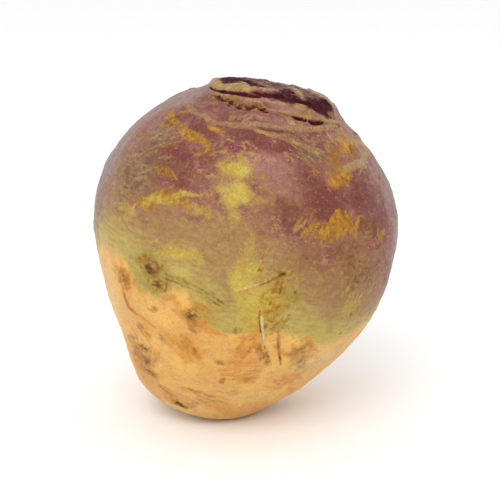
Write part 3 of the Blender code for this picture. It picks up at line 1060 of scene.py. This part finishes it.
def make_skin(tree):
    """The whole root as one closed mesh, with all that its material reads."""
    outline = Outline(tree)
    downs = ring_places(outline.length)
    used, faces, corners = join_cells(lattice_cells(cell_cuts(outline, downs)), len(downs) - 1)
    lattice = np.array(list(used))
    skin = Skin(outline, lattice[:, 0] * 360.0 / (COLUMNS * FINEST), downs[lattice[:, 1]])
    mark_all(skin)
    swell(skin)

    mesh = bpy.data.meshes.new("rutabaga_skin")
    mesh.from_pydata(raised_points(skin).tolist(), [], faces)
    layout = mesh.uv_layers.new(name="OFBake")
    corners = np.array(corners, float)
    places = np.stack([corners[:, 0] / (COLUMNS * FINEST), 1.0 - corners[:, 1] / (len(downs) - 1)], axis=1)
    layout.data.foreach_set("uv", places.ravel())
    store_looks(mesh, skin)
    mesh.update()
    mesh.shade_smooth()
    return add_object("rutabaga_skin", mesh)


def add_object(name, data):
    """Puts an object with this data in the scene."""
    made = bpy.data.objects.new(name, data)
    bpy.context.scene.collection.objects.link(made)
    return made


def store_looks(mesh, skin):
    """The pigments, how far each place is from the lines between the zones, and two kinds of place."""
    for name, values in skin.paint.items():
        store(mesh, name, values)
    below = skin.down - ring_through(CREAM_LINE, skin.azimuth)
    store(mesh, "below", below)
    store(mesh, "cream", below / ring_through(CREAM_SOFTNESS, skin.azimuth))
    store(mesh, "purple", ring_through(PURPLE_LINE, skin.azimuth) - skin.down)
    unrolled = around(skin.azimuth) * FIBRE_RING
    unrolled[:, 2] = skin.down
    store_vector(mesh, "place", skin.points)
    store_vector(mesh, "fibre", unrolled)


def store(mesh, name, values):
    """A number for each point of the mesh."""
    mesh.attributes.new(name, "FLOAT", "POINT").data.foreach_set("value", values.astype(np.float32))


def store_vector(mesh, name, values):
    """A position for each point of the mesh."""
    layer = mesh.attributes.new(name, "FLOAT_VECTOR", "POINT")
    layer.data.foreach_set("vector", values.astype(np.float32).ravel())


# ---------------------------------------------------------------- the material

def srgb(red, green, blue):
    """A colour given in the screen's 0 to 255 steps, as the shader's linear values."""
    values = []
    for step in (red, green, blue):
        share = step / 255.0
        values.append(share / 12.92 if share <= 0.04045 else ((share + 0.055) / 1.055) ** 2.4)
    return (*values, 1.0)


class Graph:
    """Short calls that add nodes to a material. All but fill give the socket that their result is on."""

    def __init__(self, material):
        material.use_nodes = True
        self.tree = material.node_tree
        self.surface = self.tree.nodes["Principled BSDF"]

    def fill(self, node, inputs):
        """Links each input to its value, where that is a socket, or sets it to the constant."""
        for name, value in inputs.items():
            if isinstance(value, bpy.types.NodeSocket):
                self.tree.links.new(value, node.inputs[name])
            else:
                node.inputs[name].default_value = value

    def attribute(self, name, output="Fac"):
        """One of the mesh's stored layers."""
        node = self.tree.nodes.new("ShaderNodeAttribute")
        node.attribute_name = name
        return node.outputs[output]

    def noise(self, place, size, detail=2.0, rough=0.55, stretch=(1.0, 1.0, 1.0)):
        """Noise from 0 to 1 with features of about size millimetres, longer where stretch is small."""
        mapping = self.tree.nodes.new("ShaderNodeMapping")
        self.fill(mapping, {"Vector": place, "Scale": tuple(part / size for part in stretch)})
        node = self.tree.nodes.new("ShaderNodeTexNoise")
        self.fill(node, {"Vector": mapping.outputs["Vector"], "Scale": 1.0, "Detail": detail,
                         "Roughness": rough})
        return node.outputs["Fac"]

    def math(self, operation, first, second=0.0, third=0.0):
        """One step of arithmetic."""
        node = self.tree.nodes.new("ShaderNodeMath")
        node.operation = operation
        self.fill(node, {0: first, 1: second, 2: third})
        return node.outputs[0]

    def slope(self, value, low, high, to_low=0.0, to_high=1.0):
        """A smooth slope from to_low, where value is low, to to_high, where it is high."""
        node = self.tree.nodes.new("ShaderNodeMapRange")
        node.interpolation_type = "SMOOTHSTEP"
        self.fill(node, {"Value": value, "From Min": low, "From Max": high, "To Min": to_low,
                         "To Max": to_high})
        return node.outputs["Result"]

    def mix(self, share, first, second, blend="MIX"):
        """Two colours mixed. On this node, sockets 0, 6 and 7 and output 2 are the ones for colours."""
        node = self.tree.nodes.new("ShaderNodeMix")
        node.data_type = "RGBA"
        node.blend_type = blend
        self.fill(node, {0: share, 6: first, 7: second})
        return node.outputs[2]

    def washes(self, colour, *rows):
        """A colour turned towards other tones. A row gives a noise, its low and high, how much of the tone
        shows at each of them, and the tone."""
        for value, low, high, to_low, to_high, tone in rows:
            colour = self.mix(self.slope(value, low, high, to_low, to_high), colour, tone)
        return colour


# Pigments from the lowest layer to the highest: two colours that each varies between, the noise that
# breaks up its edge, how ragged and how soft the edge is, and how much its broken and its even part hide
LAYERS = (
    ("haze", srgb(166, 128, 74), srgb(146, 104, 60), "cloudy", 0.8, 0.50, 0.50, 0.30),
    # Lilac skin, also laid as a painted highlight on the middle of the shoulder.
    ("lilac_and_highlight", srgb(172, 116, 112), srgb(150, 94, 96), "cloudy", 0.8, 0.35, 0.45, 0.30),
    ("maroon", srgb(122, 52, 50), srgb(94, 32, 36), "ragged", 0.9, 0.40, 0.52, 0.32),
    ("khaki", srgb(147, 114, 78), srgb(106, 73, 51), "flakes", 0.9, 0.45, 0.50, 0.38),
    # A pale lavender waxy bloom, laid mostly as painted sheen along the edges of the near view.
    ("bloom_and_rim_sheen", srgb(162, 138, 136), srgb(138, 110, 114), "cloudy", 0.6, 0.60, 0.35, 0.35),
    ("gold", srgb(201, 179, 76), srgb(185, 146, 38), "ragged", 0.8, 0.50, 0.48, 0.38),
    ("rust", srgb(192, 138, 18), srgb(140, 84, 4), "ragged", 0.9, 0.30, 0.64, 0.32),
    ("moss", srgb(172, 154, 70), srgb(140, 116, 34), "cloudy", 0.9, 0.40, 0.48, 0.32),
    ("blush", srgb(216, 140, 42), srgb(200, 120, 32), "cloudy", 0.9, 0.45, 0.40, 0.36),
    ("raw", srgb(118, 60, 62), srgb(76, 26, 36), "ragged", 0.6, 0.30, 0.60, 0.40),
    ("straw", srgb(186, 154, 96), srgb(152, 114, 70), "strands", 0.8, 0.40, 0.50, 0.38),
    ("smudge", srgb(172, 118, 46), srgb(140, 94, 38), "ragged", 0.9, 0.45, 0.45, 0.30),
    # Pale peeled skin, also laid as painted bounce light towards the root end.
    ("peel_and_bounce_light", srgb(236, 214, 172), srgb(216, 184, 134), "ragged", 0.7, 0.40, 0.50, 0.35),
    ("bark", srgb(156, 108, 26), srgb(116, 74, 10), "ragged", 0.9, 0.32, 0.62, 0.32),
    ("soil", srgb(94, 60, 14), srgb(62, 38, 8), "ragged", 0.6, 0.30, 0.60, 0.38),
    ("night", srgb(80, 8, 18), srgb(38, 0, 6), "ragged", 0.5, 0.20, 0.70, 0.30),
)


GREY_WASH = (0.85, 0.89, 0.89, 1.0)     # multiplies the whole skin, to take its brightness down a little
SHEEN = 0.22                            # the skin's specular level
BUMP = 0.8                              # the strength of the material's fine bumps


def stretch_noise(graph, noise, gain):
    """Noise about 0 with its contrast raised, so that it reaches well past the edges it breaks up."""
    return graph.math("MULTIPLY", graph.math("SUBTRACT", noise, 0.5), gain)


def skin_noises(graph):
    """The noises that colour the skin, from coarse to fine, and those drawn out around or down it."""
    place = graph.attribute("place", "Vector")
    fibre = graph.attribute("fibre", "Vector")
    noises = {
        "cloud": graph.noise(place, 13.0, 3.0),
        "patchy": graph.noise(place, 4.2, 5.0, 0.62),
        "flecks": graph.noise(place, 1.7, 4.0, 0.6),
        "grain": graph.noise(place, 0.8, 3.0, 0.6),
        "rings": graph.noise(place, 1.3, 3.0, 0.6, (0.22, 0.22, 1.0)),
        "strands": graph.noise(fibre, 0.9, 3.0, 0.6, (1.0, 1.0, 0.14)),
        "flakes": graph.noise(place, 1.5, 4.0, 0.62, (0.4, 0.4, 1.0)),
        "tint": graph.noise(place, 1.9, 6.0, 0.76),
    }
    noises["mottle"] = graph.mix(0.5, noises["patchy"], noises["flecks"])
    return noises


def edge_noises(graph, noises):
    """The noises that break up the edges of zones and marks."""
    return {
        name: stretch_noise(graph, graph.mix(share, noises[first], noises[second]), gain)
        for name, share, first, second, gain in (
            ("cloudy", 0.5, "cloud", "patchy", 2.4),
            ("ragged", 0.35, "mottle", "grain", 4.0),
            ("flakes", 0.45, "flakes", "patchy", 3.4),
            ("strands", 0.4, "strands", "grain", 2.2),
        )
    }


def bare_skin(graph, noises, breaks):
    """The skin without marks: purple over olive above, green towards the cream line, cream below it."""
    cloud, patchy, mottle = noises["cloud"], noises["patchy"], noises["mottle"]
    rings, flakes, tint = noises["rings"], noises["flakes"], noises["tint"]
    olive = graph.washes(
        srgb(166, 132, 76),
        (rings, 0.32, 0.68, 0.0, 1.0, srgb(148, 106, 64)),
        (patchy, 0.42, 0.68, 0.0, 0.7, srgb(182, 150, 92)),
    )
    leaf = graph.washes(srgb(190, 168, 86), (rings, 0.32, 0.68, 0.0, 1.0, srgb(178, 152, 74)))
    plum = graph.washes(
        srgb(112, 44, 46),
        (mottle, 0.43, 0.57, 0.0, 1.0, srgb(150, 90, 80)),
        (cloud, 0.45, 0.65, 0.0, 0.7, srgb(138, 82, 54)),
        (flakes, 0.56, 0.66, 0.0, 0.75, srgb(178, 134, 76)),
    )
    flesh = graph.washes(
        srgb(236, 181, 93),
        (cloud, 0.40, 0.60, 0.0, 1.0, srgb(223, 165, 90)),
        (mottle, 0.50, 0.66, 0.0, 0.45, srgb(206, 142, 66)),
        (flakes, 0.54, 0.70, 0.0, 0.45, srgb(236, 194, 124)),
        (tint, 0.50, 0.68, 0.0, 0.45, srgb(220, 146, 52)),
        (tint, 0.32, 0.50, 0.40, 0.0, srgb(236, 192, 138)),
    )

    # Noise moves each edge to and fro before one colour slopes into the next across it
    green_edge = graph.math("MULTIPLY_ADD", breaks["cloudy"], 9.0, graph.attribute("below"))
    purple_edge = graph.math("MULTIPLY_ADD", breaks["ragged"], 9.0, graph.attribute("purple"))
    purple_edge = graph.math("MULTIPLY_ADD", stretch_noise(graph, rings, 2.0), 5.0, purple_edge)
    cream_edge = graph.math("MULTIPLY_ADD", breaks["ragged"], 1.8, graph.attribute("cream"))
    top = graph.mix(graph.slope(green_edge, -22.0, -4.0), olive, leaf)
    top = graph.mix(graph.slope(purple_edge, -12.0, 14.0), top, plum)
    top = graph.washes(
        top,
        (tint, 0.50, 0.68, 0.0, 0.38, srgb(206, 166, 40)),
        (tint, 0.32, 0.50, 0.42, 0.0, srgb(160, 100, 120)),
    )
    return graph.mix(graph.slope(cream_edge, -2.0, 2.0), top, flesh)


def lay_pigments(graph, colour, noises, breaks):
    """Lays the pigments over a colour. Gives the new colour and how much each pigment covers.
    A pigment's broken part has an edge that noise breaks up, and its even part only fades out."""
    tones = {"strands": noises["strands"], "flakes": noises["flakes"]}
    covers = {}
    for name, light, dark, breaking, ragged, softness, broken_share, even_share in LAYERS:
        mark = graph.attribute(name)
        edge = graph.math("MULTIPLY_ADD", breaks[breaking], ragged, mark)
        broken = graph.slope(edge, 0.5 - softness, 0.5 + softness, 0.0, broken_share)
        even = graph.slope(mark, 0.05, 0.95, 0.0, even_share)
        share = graph.math("MULTIPLY", graph.math("ADD", broken, even), graph.slope(mark, 0.02, 0.35))
        tone = graph.mix(graph.slope(tones.get(breaking, noises["mottle"]), 0.38, 0.62), light, dark)
        colour = graph.mix(share, colour, tone)
        covers[name] = share
    return colour, covers


def speckle(graph, colour, noises, covers):
    """Fine dark and light specks all over, but none in the darkest hollows."""
    bare = graph.math("SUBTRACT", 1.0, covers["night"])
    for name, low, high, to_low, to_high, tone in (
        ("grain", 0.26, 0.50, 0.22, 0.0, srgb(84, 40, 30)),
        ("grain", 0.52, 0.78, 0.0, 0.22, srgb(222, 184, 134)),
        ("tint", 0.50, 0.70, 0.0, 0.12, srgb(216, 176, 60)),
        ("tint", 0.30, 0.50, 0.10, 0.0, srgb(160, 98, 84)),
    ):
        share = graph.math("MULTIPLY", bare, graph.slope(noises[name], low, high, to_low, to_high))
        colour = graph.mix(share, colour, tone)
    return colour


def sum_up(graph, total, *rows):
    """A total with more values added to it, each times its weight."""
    for value, weight in rows:
        total = graph.math("MULTIPLY_ADD", value, weight, total)
    return total


def skin_material():
    """The skin's material. All its detail comes from the mesh's layers and from noise."""
    material = bpy.data.materials.new("rutabaga_skin")
    graph = Graph(material)
    noises = skin_noises(graph)
    breaks = edge_noises(graph, noises)
    colour, covers = lay_pigments(graph, bare_skin(graph, noises, breaks), noises, breaks)
    colour = speckle(graph, colour, noises, covers)

    rough = graph.slope(noises["flecks"], 0.3, 0.7, 0.40, 0.54)
    rough = sum_up(graph, rough, (covers["bark"], 0.30), (covers["night"], 0.50))
    height = graph.math("MULTIPLY", noises["grain"], 0.07)
    height = sum_up(graph, height, (noises["rings"], 0.08), (noises["mottle"], 0.13),
                    (covers["bark"], -0.14), (covers["straw"], 0.08))
    bump = graph.tree.nodes.new("ShaderNodeBump")
    graph.fill(bump, {"Height": height, "Distance": MM, "Strength": BUMP})
    graph.fill(graph.surface, {
        "Base Color": graph.mix(1.0, colour, GREY_WASH, "MULTIPLY"),
        "Roughness": rough,
        "Specular IOR Level": SHEEN,
        "Normal": bump.outputs["Normal"],
    })
    return material


# ---------------------------------------------------------------- the studio

FLOOR_HALF = 6.0                    # metres from the floor's middle to its edges
FLOOR_DROP = 0.0002                 # metres that the floor lies under the root
CAMERA_RISE = radians(15.0)         # how far the camera looks down
CAMERA_DISTANCE = 0.569             # metres from the camera to what it looks at
CAMERA_AIM = (1.8, 0.0, -1.6)       # from the middle of the root to what it looks at, in millimetres


def plain_material(name, colour, roughness):
    """An even material."""
    material = bpy.data.materials.new(name)
    material.use_nodes = True
    surface = material.node_tree.nodes["Principled BSDF"]
    surface.inputs["Base Color"].default_value = colour
    surface.inputs["Roughness"].default_value = roughness
    return material


def make_floor():
    """A wide pale floor."""
    half = FLOOR_HALF
    corners = [(-half, -half, 0), (half, -half, 0), (half, half, 0), (-half, half, 0)]
    mesh = bpy.data.meshes.new("floor")
    mesh.from_pydata(corners, [], [(0, 1, 2, 3)])
    mesh.materials.append(plain_material("floor", (0.95, 0.95, 0.95, 1.0), 0.8))
    floor = add_object("floor", mesh)
    floor.location.z = -FLOOR_DROP
    return floor


def look_from(thing, place, aim):
    """Moves a lamp or camera to a place and turns it towards aim."""
    thing.location = place
    thing.rotation_euler = (aim - place).to_track_quat("-Z", "Y").to_euler()


def make_light(name, place, aim, size, power):
    """A round soft light, turned towards aim. Size is in metres and power in watts."""
    data = bpy.data.lights.new(name, "AREA")
    data.shape = "DISK"
    data.size = size
    data.energy = power
    look_from(add_object(name, data), Vector(place), aim)


def make_world(strength):
    """White light from all around."""
    world = bpy.data.worlds.new("studio")
    world.use_nodes = True
    background = world.node_tree.nodes["Background"]
    background.inputs["Color"].default_value = (1.0, 1.0, 1.0, 1.0)
    background.inputs["Strength"].default_value = strength
    bpy.context.scene.world = world


def make_camera(middle):
    """The photo's view of the root, from a little above."""
    aim = middle + Vector(CAMERA_AIM) * MM
    data = bpy.data.cameras.new("camera")
    data.lens = 100.0
    data.sensor_width = 36.0
    camera = add_object("camera", data)
    look_from(camera, aim + CAMERA_DISTANCE * Vector((0.0, -cos(CAMERA_RISE), sin(CAMERA_RISE))), aim)
    bpy.context.scene.camera = camera


piece = make_skin(ray_tree(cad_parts["rutabaga"]))
piece.data.materials.append(skin_material())
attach(piece, "root")
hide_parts("rutabaga")

middle = (Vector(cad_box[0]) + Vector(cad_box[1])) / 2
make_camera(middle)
make_floor()
make_world(1.0)
make_light("key", (-0.25, -0.95, 1.0), middle, 1.0, 7.5)
make_light("left_rim", (-0.85, 0.85, 0.4), middle, 0.7, 0.5)
make_light("right_rim", (0.85, 0.95, 0.45), middle, 0.7, 0.6)
bpy.context.scene.view_settings.view_transform = "Standard"
